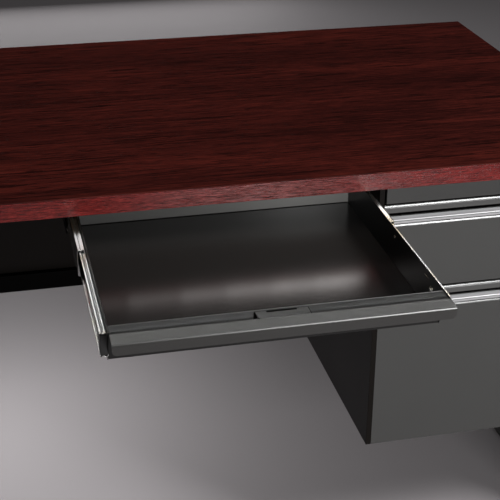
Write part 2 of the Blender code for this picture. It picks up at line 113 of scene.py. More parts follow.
# %% Finishes
class Finish:
    """A material with its Principled shader, and the coordinates of its piece."""

    def __init__(self, name, **fixed):
        self.material = bpy.data.materials.new(name)
        self.material.use_nodes = True
        self.tree = self.material.node_tree
        self.shader = self.tree.nodes["Principled BSDF"]
        self.set(**fixed)
        self.place = self.node("ShaderNodeTexCoord", {}, {}, "Object")

    def node(self, kind, settings, values, output=0):
        made = self.tree.nodes.new(kind)
        for name, value in settings.items():
            if name == "stops":
                ramp = made.color_ramp
                while len(ramp.elements) < len(value):
                    ramp.elements.new(0.5)
                for element, (position, colour) in zip(ramp.elements, value):
                    element.position, element.color = position, (*colour, 1.0)
            else:
                setattr(made, name, value)
        for name, value in values.items():
            self.feed(made.inputs[name], value)
        return Wire(self, made.outputs[output])

    def feed(self, socket, value):
        if isinstance(value, Wire):
            self.tree.links.new(value.socket, socket)
        elif isinstance(value, (tuple, list)) and len(value) == 3 and socket.type == "RGBA":
            socket.default_value = (*value, 1.0)
        else:
            socket.default_value = value

    def set(self, **values):
        for name, value in values.items():
            self.feed(self.shader.inputs[name.replace("_", " ").title()], value)

    def noise(self, stretch, detail=3.0, roughness=0.5, distortion=0.0, shift=(0, 0, 0)):
        """Noise of about one blotch per unit of the stretched coordinates, from 0 to 1."""
        mapped = self.node("ShaderNodeMapping", {}, {"Vector": self.place, "Scale": stretch,
                                                     "Location": shift})
        return self.node("ShaderNodeTexNoise", {}, {
            "Vector": mapped, "Scale": 1.0, "Detail": detail, "Roughness": roughness,
            "Distortion": distortion})

    def ramp(self, factor, *stops):
        return self.node("ShaderNodeValToRGB", {"stops": stops}, {"Fac": factor})

    def mix(self, factor, first, second, blend="MIX"):
        return self.node("ShaderNodeMix", {"data_type": "RGBA", "blend_type": blend},
                         {0: factor, 6: first, 7: second}, 2)

    def bump(self, height, distance, strength=1.0):
        normal = self.node("ShaderNodeBump", {}, {"Height": height, "Distance": distance,
                                                  "Strength": strength})
        self.set(normal=normal)


def level(wire, low, high):
    """Stretch the band from low to high over 0 to 1, and clamp the rest."""
    return wire.maths("MULTIPLY", wire - low, 1.0 / (high - low), clamp=True)


# %% [markdown]
# ## Wood-grain laminate
# The worktop is printed laminate: a dark mahogany figure that runs along the desk. Three
# noises stretched along X make it: broad tone, streaks a few millimetres wide, and short
# dark pores. The thin edge band carries the same print in a brighter red.


# %% Mahogany finishes
def mahogany(name, tones, streak, dash, specular, roughness):
    """Grain along X. tones are three colours from dark to light, and streak and dash say
    how many marks there are in a metre along and across the grain."""
    wood = Finish(name)
    broad = wood.noise((1.3, 9.0, 9.0), detail=2.0, distortion=0.6)
    streaks = wood.noise(streak, detail=6.0, roughness=0.68, distortion=0.3)
    fine = wood.noise(tuple(4.0 * s for s in streak), detail=4.0, roughness=0.7, shift=(3, 1, 2))
    marks = wood.noise(dash, detail=4.0, roughness=0.62, distortion=0.8, shift=(7, 4, 5))
    tone = level(broad * 0.26 + streaks * 0.42 + fine * 0.32, 0.43, 0.59)
    colour = wood.ramp(tone, (0.0, tones[0]), (0.5, tones[1]), (1.0, tones[2]))
    dark = level(marks, 0.54, 0.60)
    colour = wood.mix(dark * 0.80, colour, tuple(0.30 * c for c in tones[0]))
    wood.set(base_color=colour)
    wood.set(roughness=roughness + fine * 0.08)
    wood.bump(1.0 - dark + fine * 0.3, 0.00003)
    wood.shader.inputs["Specular IOR Level"].default_value = specular
    return wood.material


TOP_WOOD = mahogany("mahogany_top", ((0.026, 0.0042, 0.0033), (0.058, 0.0088, 0.0064),
                                     (0.112, 0.0165, 0.0110)), (13.0, 230.0, 230.0),
                    (12.0, 210.0, 210.0), 0.10, 0.45)
EDGE_WOOD = mahogany("mahogany_edge", ((0.034, 0.0024, 0.0022), (0.094, 0.0064, 0.0056),
                                       (0.200, 0.0165, 0.0140)), (40.0, 420.0, 460.0),
                     (34.0, 1000.0, 1100.0), 0.32, 0.16)


# %% [markdown]
# ## Painted steel
# The frame is baked charcoal enamel. It is never quite flat: a fine orange-peel ripple
# softens its reflections, and the gloss wanders a little over a panel. The darker copies
# of the charcoal are painted shade: the tray's side walls, the pedestal's sides and the
# modesty panel lie in the desk's own shade. The near-black paint is the black parts' own
# enamel, and it also stands as painted shade in gaps and recesses. The pale trough paint
# is a painted highlight in the pulls' scoops.


# %% Paint finishes
def enamel(name, colour, roughness, ripple=0.00002, spread=0.06, specular=0.5):
    paint = Finish(name)
    clouds = paint.noise((5.0, 5.0, 5.0), detail=3.0)
    peel = paint.noise((700.0, 700.0, 700.0), detail=2.0)
    lighter = tuple(1.18 * c for c in colour)
    paint.set(base_color=paint.mix(clouds, colour, lighter))
    paint.set(roughness=roughness - spread / 2 + clouds * spread)
    paint.bump(peel, ripple)
    paint.shader.inputs["Specular IOR Level"].default_value = specular
    return paint.material


CHARCOAL = enamel("charcoal_enamel", (0.052, 0.052, 0.050), 0.42)
PULL_PAINT = enamel("pull_enamel", (0.040, 0.040, 0.039), 0.24, specular=0.8)
TRAY_PAINT = enamel("tray_enamel", (0.060, 0.059, 0.056), 0.34)
INSIDE_BLACK = enamel("tray_inside_enamel", (0.020, 0.018, 0.017), 0.20, spread=0.02)
# Painted shade: a near-black copy of the charcoal for the tray's side walls.
TRAY_SIDE_SHADE = enamel("tray_side_painted_shade", (0.0045, 0.0045, 0.0045), 0.30, specular=0.15)
LEDGE_PAINT = enamel("tray_ledge_enamel", (0.009, 0.009, 0.0085), 0.28, specular=0.4)
LIP_PAINT = enamel("tray_lip_enamel", (0.025, 0.0245, 0.023), 0.30, specular=0.6)
# Painted shade: a near-black copy of the charcoal for both of the pedestal's sides.
CHARCOAL_SIDE_SHADE = enamel("pedestal_side_painted_shade", (0.0060, 0.0046, 0.0036), 0.48, specular=0.12)
TUB_PAINT = enamel("drawer_box_enamel", (0.045, 0.045, 0.044), 0.40)
# Painted shade: a near-black copy of the charcoal for the modesty panel.
MODESTY_SHADE = enamel("modesty_painted_shade", (0.0040, 0.0026, 0.0018), 0.55, specular=0.12)
# The black parts' own enamel; the same paint is also painted shade in gaps and recesses.
BLACK_AND_SHADE = enamel("under_desk_enamel", (0.0009, 0.0008, 0.0007), 0.45, specular=0.03)
# Painted highlight: a pale paint that stands for the bright reflection in the pulls' scoops.
TROUGH_HIGHLIGHT = enamel("pull_trough_painted_highlight", (0.205, 0.203, 0.208), 0.30)

# %% [markdown]
# ## Bare metal and plastic
# The slides are zinc plated: cold-rolled steel with faint draw lines along their length
# and a yellow tint from the plating bath. The lock is bright nickel, the glides are moulded
# plastic, and the board under the laminate is closed by a brown backing sheet.


# %% Metal and plastic
def plated(name, colour, tint, roughness):
    metal = Finish(name, metallic=1.0)
    lines = metal.noise((900.0, 8.0, 900.0), detail=2.0)
    blush = metal.noise((14.0, 14.0, 60.0), detail=2.0, shift=(2, 5, 1))
    metal.set(base_color=metal.mix(level(blush, 0.48, 0.66), colour, tint))
    metal.set(roughness=roughness + lines * 0.14)
    metal.bump(lines, 0.00001)
    return metal.material


ZINC = plated("zinc_plate", (0.60, 0.60, 0.59), (0.56, 0.50, 0.34), 0.16)
NICKEL = plated("bright_nickel", (0.72, 0.71, 0.68), (0.70, 0.68, 0.62), 0.08)


def moulded(name, colour, roughness):
    plastic = Finish(name)
    grain = plastic.noise((1500.0, 1500.0, 1500.0), detail=1.0)
    plastic.set(base_color=plastic.mix(grain, colour, tuple(1.4 * c for c in colour)))
    plastic.set(roughness=roughness + grain * 0.1)
    plastic.bump(grain, 0.00003)
    return plastic.material


BLACK_PLASTIC = moulded("black_plastic", (0.010, 0.010, 0.010), 0.42)


BACKER = moulded("backing_sheet", (0.060, 0.036, 0.022), 0.75)

# %% [markdown]
# ## Shaping by hand
# Every new piece starts as one of Blender's own primitives and is shaped with the same
# operators that the menus offer. An operator acts on whatever is selected, so `take_up`
# leaves one piece selected, and `choose` selects just the corners, edges or faces that
# lie in the right place or face the right way.


# %% Picking up and choosing
def alone():
    """Leave edit mode, with nothing selected."""
    if bpy.context.mode != "OBJECT":
        bpy.ops.object.mode_set(mode="OBJECT")
    bpy.ops.object.select_all(action="DESELECT")


def take_up(piece):
    alone()
    piece.select_set(True)
    bpy.context.view_layer.objects.active = piece


def choose(piece, kind, test):
    """In edit mode, select the verts, edges or faces whose middle and direction pass a test."""
    take_up(piece)
    bpy.ops.object.mode_set(mode="EDIT")
    bpy.ops.mesh.select_mode(type=kind[:-1].upper())
    bpy.ops.mesh.select_all(action="DESELECT")
    shape = bmesh.from_edit_mesh(piece.data)
    for item in getattr(shape, kind):
        corners = [item.co] if kind == "verts" else [v.co for v in item.verts]
        middle = sum(corners, Vector()) / len(corners)
        way = item.normal if kind != "edges" else (corners[1] - corners[0]).normalized()
        item.select_set(bool(test(middle, way)))
    bmesh.update_edit_mesh(piece.data)


def modify(piece, kind, **settings):
    """Add a modifier, set it up and apply it."""
    take_up(piece)
    bpy.ops.object.modifier_add(type=kind)
    modifier = piece.modifiers[-1]
    for name, value in settings.items():
        setattr(modifier, name, value)
    bpy.ops.object.modifier_apply(modifier=modifier.name)


# %% [markdown]
# Most of this desk is steel sheet and turned metal, and three ways of shaping cover it.
# The first is a primitive stretched to size. It comes out with its place in its mesh.


# %% Boxes and discs
def block(name, low, high):
    """A cube primitive between two corners."""
    alone()
    low, high = Vector(low), Vector(high)
    bpy.ops.mesh.primitive_cube_add(size=1.0, location=(low + high) / 2)
    piece = bpy.context.object
    piece.name = name
    piece.scale = high - low
    bpy.ops.object.transform_apply()
    return piece


def disc(name, centre, radius, depth, axis, sides=24):
    """A cylinder primitive along X, Y or Z."""
    alone()
    turns = {"X": (0.0, pi / 2, 0.0), "Y": (pi / 2, 0.0, 0.0), "Z": (0.0, 0.0, 0.0)}
    bpy.ops.mesh.primitive_cylinder_add(vertices=sides, radius=radius, depth=depth,
                                        location=centre, rotation=turns[axis])
    piece = bpy.context.object
    piece.name = name
    bpy.ops.object.transform_apply()
    return piece


# %% [markdown]
# The second way is folding. A sheet starts as one corner that is extruded from point to
# point, and then along the piece. Its folds are bevelled and it is given its thickness.


# %% Folded sheet
def spot(axis, along, section):
    """The point at a distance along an axis, and at (y, z), (x, z) or (x, y) across it."""
    u, v = section
    return Vector({"X": (along, u, v), "Y": (u, along, v), "Z": (u, v, along)}[axis])


def line_through(name, points):
    """Edges from point to point, made by extruding one corner of a plane."""
    alone()
    bpy.ops.mesh.primitive_plane_add(size=0.001, location=points[0])
    piece = bpy.context.object
    piece.name = name
    bpy.ops.object.transform_apply()
    bpy.ops.object.mode_set(mode="EDIT")
    bpy.ops.mesh.select_mode(type="VERT")
    bpy.ops.mesh.select_all(action="SELECT")
    bpy.ops.mesh.merge(type="CENTER")
    for here, there in zip(points, points[1:]):
        bpy.ops.mesh.extrude_region_move(TRANSFORM_OT_translate={"value": there - here})
    return piece


def push(move):
    """Extrude all of the piece in edit mode."""
    bpy.ops.mesh.select_all(action="SELECT")
    bpy.ops.mesh.extrude_region_move(TRANSFORM_OT_translate={"value": move})
    bpy.ops.mesh.select_all(action="SELECT")


def folded(name, axis, span, path, thickness, bend=0.0, steps=4):
    """A sheet folded along a path across an axis. It has its thickness on the left of the
    path, or on the right if that is negative, and folds of the same radius."""
    piece = line_through(name, [spot(axis, span[0], p) for p in path])
    push(spot(axis, span[1] - span[0], (0.0, 0.0)))
    if bend:
        bpy.ops.mesh.bevel(offset=bend, segments=steps)
    bpy.ops.mesh.select_all(action="SELECT")
    (u, v), (far_u, far_v) = path[0], path[1]
    left = spot(axis, 0.0, (v - far_v, far_u - u))
    shape = bmesh.from_edit_mesh(piece.data)
    shape.normal_update()
    first = min(shape.faces, key=lambda f: (f.calc_center_median() - spot(
        axis, sum(span) / 2, ((u + far_u) / 2, (v + far_v) / 2))).length)
    if first.normal.dot(left) < 0:
        bpy.ops.mesh.flip_normals()
    alone()
    modify(piece, "SOLIDIFY", thickness=abs(thickness), use_even_offset=True,
           offset=1.0 if thickness > 0 else -1.0)
    return piece


# %% [markdown]
# A closed line makes a solid section instead. The third way is turning, as on a lathe:
# such a line is spun about an axis.


# %% Sections and turned pieces
def section(name, axis, span, outline):
    """A closed outline pushed along an axis."""
    points = [spot(axis, span[0], p) for p in outline]
    piece = line_through(name, points + points[:1])
    bpy.ops.mesh.select_all(action="SELECT")
    bpy.ops.mesh.remove_doubles(threshold=1e-5)
    bpy.ops.mesh.edge_face_add()
    push(spot(axis, span[1] - span[0], (0.0, 0.0)))
    bpy.ops.mesh.normals_make_consistent(inside=False)
    alone()
    return piece


def turned(name, profile, centre, axis, steps=32):
    """A profile of (radius, distance along the axis) spun about it."""
    centre, axis = Vector(centre), Vector(axis)
    across = axis.orthogonal().normalized()
    piece = line_through(name, [centre + across * r + axis * d for r, d in profile])
    bpy.ops.mesh.select_all(action="SELECT")
    bpy.ops.mesh.spin(steps=steps, angle=2 * pi, center=centre, axis=axis)
    bpy.ops.mesh.select_all(action="SELECT")
    bpy.ops.mesh.remove_doubles(threshold=1e-6)
    bpy.ops.mesh.normals_make_consistent(inside=False)
    alone()
    return piece


# %% [markdown]
# Where the CAD solid already has the right shape, a merged copy of its mesh is a good
# start: it only lacks the small radius that every folded or sawn edge has. That radius
# matters, because it is what catches the light as a thin bright line.


# %% Copies
def copied(node, name):
    """A copy of a CAD node's mesh, merged, with its flat faces whole again."""
    alone()
    piece = bpy.data.objects.new(name, nodes[node].data.copy())
    bpy.context.scene.collection.objects.link(piece)
    take_up(piece)
    bpy.ops.object.mode_set(mode="EDIT")
    bpy.ops.mesh.select_all(action="SELECT")
    bpy.ops.mesh.remove_doubles(threshold=1e-6)
    bpy.ops.mesh.dissolve_limited(angle_limit=radians(0.5))
    alone()
    return piece


def again(piece, name, move=(0, 0, 0), flip_at=None):
    """A copy with its own mesh, moved, or turned over about a plane across X."""
    twin = bpy.data.objects.new(name, piece.data.copy())
    bpy.context.scene.collection.objects.link(twin)
    if flip_at is not None:
        twin.data.transform(Matrix.Translation((2 * flip_at, 0, 0))
                            @ Matrix.Diagonal((-1, 1, 1, 1)))
        twin.data.flip_normals()
    twin.data.transform(Matrix.Translation(move))
    return twin


# %% [markdown]
# Small parts of one piece are joined into one mesh. A hole is cut with a piece of its own
# shape, and a bevel on the sharp edges gives them their radius.


# %% Joins, holes and small radii
def joined(name, pieces):
    alone()
    for piece in pieces:
        piece.select_set(True)
    bpy.context.view_layer.objects.active = pieces[0]
    bpy.ops.object.join()
    whole = bpy.context.object
    whole.name = name
    return whole


def bored(piece, *cutters):
    """Cut one piece with others, which are used up."""
    for cutter in cutters:
        modify(piece, "BOOLEAN", operation="DIFFERENCE", solver="EXACT", object=cutter)
        bpy.data.objects.remove(cutter)
    return piece


def rounded(piece, width, steps=2, angle=35):
    """A small radius on every edge sharper than an angle."""
    modify(piece, "BEVEL", width=width, segments=steps, limit_method="ANGLE",
           angle_limit=radians(angle), miter_outer="MITER_ARC")
    return piece


# %% [markdown]
# Each piece is settled last: it gets its paint, smooth shading with sharp folds, and the
# body that it moves with, and it hides the plain CAD solids that it stands for.

# %% Last touches
made, told = [], []


def settle(piece, body, finish, slot, *replaced, smooth=50):
    """Give a piece its finish and its body, and hide the CAD nodes it stands for."""
    take_up(piece)
    piece.data.materials.clear()
    piece.data.materials.append(finish)
    bpy.ops.object.shade_smooth_by_angle(angle=radians(smooth))
    modify(piece, "WEIGHTED_NORMAL", keep_sharp=True, weight=80)
    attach(piece, body)
    if replaced:
        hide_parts(*replaced)
    made.append(piece)
    return piece


def tell(title):
    """Print the pieces made since the last call."""
    fresh = [piece.name for piece in made if piece.name not in told]
    told.extend(fresh)
    print(title + ":", *fresh)


# %% [markdown]
# ## Worktop
# The top is particle board with a printed laminate on its face, a thin plastic band glued
# round its four edges and a brown backing sheet below. The laminate's edge is routed
# over slightly, and that small slope shows as a light line along the front.

# %% Worktop
SHEET = 0.001
top = copied("worktop_laminate", "worktop_surface")
choose(top, "edges", lambda middle, way: middle.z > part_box("worktop_laminate")[1].z - 1e-4
       or abs(way.z) > 0.9)
bpy.ops.mesh.bevel(offset=0.0006, segments=3)
settle(top, "desk", TOP_WOOD, "laminate", "worktop_laminate")
band = rounded(copied("worktop_edge_band", "worktop_banding"), 0.0004)
settle(band, "desk", EDGE_WOOD, "edge", "worktop_edge_band")
board = rounded(copied("worktop_core", "worktop_board"), 0.0003)
settle(board, "desk", BACKER, "core", "worktop_core")
tell("worktop")
print("worktop:", *(round(side * 1000) for side in top.dimensions), "mm")

# %% [markdown]
# ## Screws
# One pan-head screw is modelled once: a dome spun from a quarter arc, with a cross cut
# into it. Every screw under the desk is a copy of it, pointing down.


# %% A pan-head screw
def screw_head(radius=0.0042, height=0.0022):
    """A screw head at the origin that points down."""
    dome = [(0.0, -height)] + [(radius * sin(radians(a)), -height * cos(radians(a)))
                               for a in (25, 50, 70, 90)] + [(0.0, 0.0)]
    head = turned("screw_head", dome, (0, 0, 0), (0, 0, 1), steps=16)
    arm, slim = radius * 0.62, radius * 0.16
    return bored(head, block("cross_a", (-arm, -slim, -2 * height), (arm, slim, -height * 0.45)),
                 block("cross_b", (-slim, -arm, -2 * height), (slim, arm, -height * 0.45)))


SCREW = screw_head()


def screws(name, body, finish, slot, places):
    """Copies of the screw at several places, joined."""
    heads = [again(SCREW, f"{name}_{number}", place) for number, place in enumerate(places)]
    return settle(joined(name, heads), body, finish, slot)


print("screw head:", round(SCREW.dimensions.x * 1000, 1), "mm across")

# %% [markdown]
# ## End panels
# Each end panel is a shallow steel tray with a liner closing it. Press-brake folds leave
# a radius of about the sheet's own thickness, here a little over a millimetre.

# %% End panels
for side in ("left", "right"):
    panel = rounded(copied(side + "_end_panel", side + "_end_skin"), 0.0012, 3)
    settle(panel, "desk", CHARCOAL, "steel", side + "_end_panel")
    liner = rounded(copied(side + "_end_liner", side + "_inner_liner"), 0.0004)
    settle(liner, "desk", CHARCOAL, "steel", side + "_end_liner")
tell("end panels")

# %% [markdown]
# ## Levelling glides
# A glide is a moulded foot under a hexagonal nut on a threaded stem. The thread is a row
# of small rings rather than a helix, which looks the same at this size and stays light.

# %% Glides
FOOT_RADIUS, FOOT_HEIGHT = 0.0115, 0.0068
STEM, THREAD_DEPTH, PITCH = 0.0039, 0.0006, 0.00125
NUT_RADIUS, NUT_HEIGHT = 0.0072, 0.0036

for corner in ("left_front", "left_back", "right_front", "right_back"):
    low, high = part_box("glide_" + corner)
    x, y = (low.x + high.x) / 2, (low.y + high.y) / 2
    foot = [(0.0, 0.0), (FOOT_RADIUS - 0.0012, 0.0), (FOOT_RADIUS - 0.0003, 0.0005),
            (FOOT_RADIUS, 0.0014), (FOOT_RADIUS, 0.0040), (FOOT_RADIUS - 0.0008, 0.0055),
            (FOOT_RADIUS - 0.0028, FOOT_HEIGHT), (0.0, FOOT_HEIGHT)]
    thread = [(0.0, FOOT_HEIGHT - 0.001)]
    rings = int((high.z - FOOT_HEIGHT) / PITCH)
    for ring in range(rings):
        z = FOOT_HEIGHT - 0.001 + ring * PITCH
        thread += [(STEM - THREAD_DEPTH, z), (STEM, z + PITCH / 2)]
    thread.append((0.0, thread[-1][1]))
    base = turned("glide_pad_" + corner, foot, (x, y, 0), (0, 0, 1), steps=40)
    stem = turned("glide_stem", thread, (x, y, 0), (0, 0, 1), steps=16)
    nut = rounded(disc("glide_nut", (x, y, FOOT_HEIGHT + NUT_HEIGHT / 2), NUT_RADIUS,
                       NUT_HEIGHT, "Z", sides=6), 0.0004)
    settle(base, "glide_" + corner, BLACK_PLASTIC, "glide", "glide_" + corner)
    settle(joined("glide_stud_" + corner, [stem, nut]), "glide_" + corner, ZINC, "glide")
tell("glides")

# %% [markdown]
# ## Modesty panel and rails
# The modesty panel is one sheet across the back with a black channel along its foot.
# Rails screwed under the top hold the panel, the cleat and the pedestal.

# %% Modesty panel, rails and their screws
RAIL_SHEET, RAIL_BEND = 0.002, 0.0022

# The modesty sheet takes the painted shade paint.
settle(rounded(copied("modesty_panel", "modesty_sheet"), 0.0004), "desk", MODESTY_SHADE, "steel",
       "modesty_panel")
low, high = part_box("modesty_channel")
channel = folded("modesty_foot_channel", "X", (low.x, high.x),
                 [(high.y, high.z), (low.y, high.z), (low.y, low.z), (high.y, low.z)],
                 SHEET, bend=0.0020)
settle(rounded(channel, 0.0003), "desk", BLACK_AND_SHADE, "black", "modesty_channel")
low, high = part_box("rear_top_rail")
rail = folded("rear_top_angle", "X", (low.x, high.x),
              [(low.y, high.z), (high.y, high.z), (high.y, low.z)], -RAIL_SHEET, bend=RAIL_BEND)
settle(rounded(rail, 0.0003), "desk", BLACK_AND_SHADE, "black", "rear_top_rail")
screws("rear_angle_screws", "desk", ZINC, "zinc",
       [(low.x + (high.x - low.x) * (k + 0.5) / 6, (low.y + high.y) / 2,
         high.z - RAIL_SHEET) for k in range(6)])
low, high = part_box("left_top_cleat")
cleat = folded("left_top_angle", "Y", (low.y, high.y),
               [(low.x, low.z), (low.x, high.z), (high.x, high.z)], -RAIL_SHEET, bend=RAIL_BEND)
settle(rounded(cleat, 0.0003), "desk", BLACK_AND_SHADE, "black", "left_top_cleat")
screws("left_angle_screws", "desk", ZINC, "zinc",
       [((low.x + high.x) / 2 + RAIL_SHEET, low.y + (high.y - low.y) * (k + 0.5) / 4,
         high.z - RAIL_SHEET) for k in range(4)])
tell("modesty panel and rails")

# %% [markdown]
# ## Keyboard tray
# The tray is a shallow steel pan. Its back and side walls are separate sheets whose top
# edges catch the light as thin lines. The side walls end in a small gusset that slopes
# down behind the lip, and their near-black paint is painted shade. A thin black strip along
# the foot of the back wall is painted shade in the gap where the two sheets meet.

# %% Tray floor, walls and back
settle(rounded(copied("tray_floor", "tray_pan"), 0.0003), "tray", INSIDE_BLACK, "black",
       "tray_floor")
for side in ("left", "right"):
    wall = rounded(copied("tray_wall_" + side, "tray_side_" + side), 0.00032)
    # The side walls take the painted shade paint.
    settle(wall, "tray", TRAY_SIDE_SHADE, "steel", "tray_wall_" + side)
low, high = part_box("tray_back")
HEM, HEM_DROP = 0.0021, 0.006

back = folded("tray_rear_wall", "X", (low.x, high.x),
              [(high.y - HEM, high.z - HEM_DROP), (high.y - HEM, high.z), (high.y, high.z),
               (high.y, low.z)], -SHEET * 0.98, bend=0.0009)
settle(rounded(back, 0.0002), "tray", TRAY_PAINT, "steel", "tray_back")
pan_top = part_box("tray_floor")[1].z
# Painted shade: a black strip in the gap at the foot of the back wall.
rear_gap_shade = block("tray_rear_gap_shade", (low.x + 0.001, low.y - 0.0022, pan_top + 0.0001),
             (high.x - 0.001, low.y - 0.0002, pan_top + 0.0006))
settle(rear_gap_shade, "tray", BLACK_AND_SHADE, "black")
tell("tray")

# %% [markdown]
# The front wall leans forward and folds into a ledge that runs under the lip. A shallow
# pressed groove stiffens the ledge, and a slim bead along the fold catches the light.

# %% Tray front wall and ledge
low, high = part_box("tray_front")
LEAN, GROOVE_DEPTH, BEAD_RADIUS = 0.009, 0.0005, 0.0006

lean_foot = high.y
ledge_path = [(lean_foot, low.z), (lean_foot - LEAN, high.z), (low.y + 0.0125, high.z),
              (low.y + 0.0115, high.z - GROOVE_DEPTH),
              (low.y + 0.0085, high.z - GROOVE_DEPTH),
              (low.y + 0.0075, high.z), (low.y, high.z)]
ledge = folded("tray_front_ledge", "X", (low.x, high.x), ledge_path, SHEET, bend=0.0)
choose(ledge, "edges", lambda middle, way: abs(way.x) > 0.9 and middle.y > lean_foot - 0.011
       and middle.z > high.z - 0.002)
bpy.ops.mesh.bevel(offset=0.0012, segments=4)
settle(rounded(ledge, 0.00025, angle=50), "tray", LEDGE_PAINT, "black", "tray_front")
bead = disc("tray_ledge_bead", ((low.x + high.x) / 2, lean_foot - 0.0098, high.z + 0.0001),
            BEAD_RADIUS, high.x - low.x - 0.002, "X", sides=20)
settle(bead, "tray", LIP_PAINT, "steel")
tell("tray front")

# %% [markdown]
# The lip is the tray's handle: a plate that dips forward, turns down over a narrow flat
# and hangs as a flange. The flat is what shines as a white line. The flange's left corner
# is rounded and its right corner is clipped.

# %% Lip
low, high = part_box("tray_lip")
LIP_SHEET, LIP_DROP = 0.0012, 0.0020
ROUND_CORNER, CLIPPED_CORNER = 0.0062, 0.0050

nose = folded("tray_nose", "X", (low.x, high.x),
              [(high.y, high.z), (low.y + 0.0015, high.z - LIP_DROP + 0.0002),
               (low.y + 0.0004, high.z - LIP_DROP - 0.0013), (low.y, high.z - LIP_DROP - 0.0025),
               (low.y, low.z)], LIP_SHEET, bend=0.0003, steps=2)
choose(nose, "edges", lambda middle, way: abs(way.y) > 0.9 and middle.z < low.z + 0.001
       and middle.x < low.x + 0.001)
bpy.ops.mesh.bevel(offset=ROUND_CORNER, segments=8)
choose(nose, "edges", lambda middle, way: abs(way.y) > 0.9 and middle.z < low.z + 0.001
       and middle.x > high.x - 0.001)
bpy.ops.mesh.bevel(offset=CLIPPED_CORNER, segments=1)
settle(rounded(nose, 0.0003, angle=50), "tray", LIP_PAINT, "steel", "tray_lip")
tell("lip")

# %% [markdown]
# A tab stands behind the middle of the lip, with a slot in its rear edge. It is drawn as
# an outline and pushed up through the sheet's thickness. It fills most of an opening in
# the ledge, and a black plate just under it is painted shade in the gap round the tab.

# %% Strike tab
low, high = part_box("tray_strike")
SLOT, SLOT_DEPTH, CORNER = 0.040, 0.004, 0.003
x = (low.x + high.x) / 2
outline = [(low.x + CORNER, low.y), (high.x, low.y), (high.x, high.y), (x + SLOT / 2, high.y),
           (x + SLOT / 2, high.y - SLOT_DEPTH), (x - SLOT / 2, high.y - SLOT_DEPTH),
           (x - SLOT / 2, high.y), (low.x, high.y), (low.x, low.y + CORNER)]
tab = section("tray_latch_tab", "Z", (low.z, high.z), outline)
settle(rounded(tab, 0.00022), "tray", LIP_PAINT, "steel", "tray_strike")
GAP_RIGHT, GAP_BACK, GAP_LEFT = 0.0016, 0.0024, 0.0065
# Painted shade: a black plate in the gap round the tab.
opening = section("tray_latch_gap_shade", "Z", (low.z - 0.0003, low.z - 0.0001),
                  [(low.x - GAP_LEFT, low.y), (high.x + GAP_RIGHT, low.y),
                   (high.x + GAP_RIGHT, high.y + GAP_BACK), (low.x - 0.0012, high.y + GAP_BACK)])
settle(opening, "tray", BLACK_AND_SHADE, "black")
tell("strike tab")

# %% [markdown]
# ## Ball-bearing slides
# A slide has three steel channels, one inside another, with caged balls between them. The
# balls are hidden and aren't modelled. Each flange has a groove pressed along it for the
# balls, and the groove is what makes the bright lines along a slide.


# %% Slide members
SLIDE_SHEET, GROOVE_DIP = 0.0011, 0.0011


def member(node, name, web_side, groove):
    """A channel with a ball groove in each flange. web_side is +1 if the web is at the
    high-X side, and groove says where along the flange the groove lies."""
    low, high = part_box(node)
    web, mouth = (high.x, low.x) if web_side > 0 else (low.x, high.x)
    reach = mouth - web
    points = [(1.0, 0.0), (groove + 0.24, 0.0), (groove + 0.12, 0.7), (groove, 1.0),
              (groove - 0.12, 0.7), (groove - 0.24, 0.0), (0.10, 0.0), (0.0, 0.6)]
    upper = [(web + reach * t, high.z - GROOVE_DIP * d) for t, d in points]
    lower = [(u, low.z + high.z - v) for u, v in reversed(upper)]
    path = upper + lower
    piece = folded(name, "Y", (low.y, high.y), path, SLIDE_SHEET * web_side)
    return rounded(piece, 0.0002, 1, angle=60)


def slide(prefix, name, side, fixed_body, middle_body, moving_body):
    """All of one slide. side is -1 on the left of what it carries, and +1 on the right."""
    hand = "left" if side < 0 else "right"
    stem = prefix + "_slide_"
    for part, body, web_side, groove in (("fixed", fixed_body, side, 0.62),
                                         ("middle", middle_body, side, 0.52),
                                         ("inner", moving_body, -side, 0.55)):
        node = f"{stem}{part}_{hand}"
        settle(member(node, f"{name}_{part}_member_{hand}", web_side, groove), body,
               ZINC, "zinc", node)


# %% [markdown]
# The tray's slides are pulled out, so their noses show. The carried member ends in a
# square black bumper in a zinc hook, and the tray's own member in a moulded stop.

# %% Tray slides
HOOK_SHEET, BUMPER_DEPTH, STOP_DEPTH = 0.0012, 0.0085, 0.0090

for side, hand in ((-1, "left"), (1, "right")):
    slide("tray", "tray_runner", side, "desk", "tray_middles", "tray")
    low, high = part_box("tray_slide_middle_" + hand)
    inner_low, inner_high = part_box("tray_slide_inner_" + hand)
    web = low.x if side < 0 else high.x
    near, far = sorted((web - side * HOOK_SHEET, web - side * BUMPER_DEPTH))
    bumper = block("tray_bumper_" + hand, (near, low.y - 0.001, high.z - 0.0068),
                   (far, low.y + 0.007, high.z - 0.0013))
    hook_near, hook_far = sorted((web, web - side * HOOK_SHEET))
    hook = block("tray_hook_" + hand, (hook_near, low.y - 0.006, low.z + 0.003),
                 (hook_far, low.y + 0.001, low.z + 0.016))
    choose(hook, "edges", lambda middle, way: abs(way.x) > 0.9 and middle.y < low.y - 0.004)
    bpy.ops.mesh.bevel(offset=0.003, segments=4)
    settle(rounded(bumper, 0.0008, 3), "tray_middles", BLACK_PLASTIC, "zinc")
    settle(rounded(hook, 0.0002), "tray_middles", ZINC, "zinc")
    web = inner_high.x if side < 0 else inner_low.x
    near, far = sorted((web - side * HOOK_SHEET, web + side * STOP_DEPTH))
    stop = block("tray_stop_" + hand, (near, inner_low.y - 0.0005, inner_low.z + 0.0015),
                 (far, inner_low.y + 0.016, inner_high.z - 0.0020))
    settle(rounded(stop, 0.0010, 3), "tray", BLACK_PLASTIC, "zinc")
tell("tray slides")

# %% [markdown]
# ## Tray fixings and hangers
# A hexagon-headed screw holds each side wall to its slide. Over it stands a short tongue,
# and further back a small dimple. Folded hangers under the top carry the slides.


# %% Tray screws and hangers
TONGUE_HEIGHT, HANGER_SHEET, HANGER_BEND = 0.0008, 0.002, 0.0026

